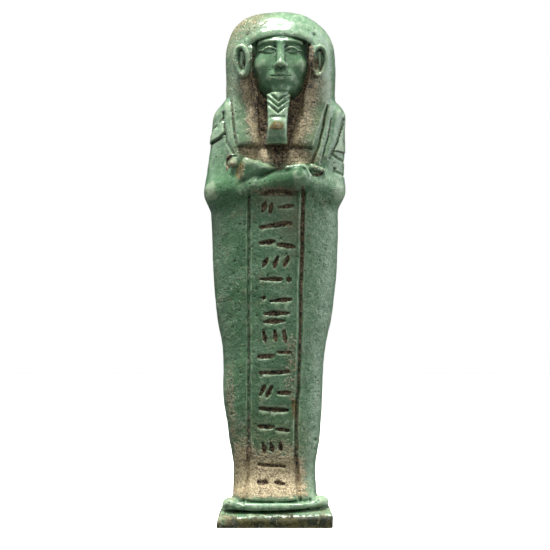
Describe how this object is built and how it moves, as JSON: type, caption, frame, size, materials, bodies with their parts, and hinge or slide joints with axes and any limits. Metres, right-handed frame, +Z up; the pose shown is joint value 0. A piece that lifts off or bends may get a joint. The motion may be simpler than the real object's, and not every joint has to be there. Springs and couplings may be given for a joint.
{
  "type": "ushabti figurine",
  "caption": "Small mummiform funerary figurine in pale green glazed faience, with wig, false beard, crossed arms, back pillar and a low plinth it stands on.",
  "frame": {"origin": "centre of the bounding box on the flat underside of the plinth", "axes": "+Z up along the figure, towards the crown of the wig; the figure faces -Y and its back pillar is on +Y; +X is to the right when it is seen from the front"},
  "size_m": [0.033, 0.0238, 0.1201],
  "materials": {
    "glazed_faience": "pale green copper glaze over a sandy quartz core, satin to glossy, with fine pores, worn tan edges and brown soil in the recesses"
  },
  "bodies": {
    "root": {"ushabti_figurine": "glazed_faience"}
  },
  "joints": []
}
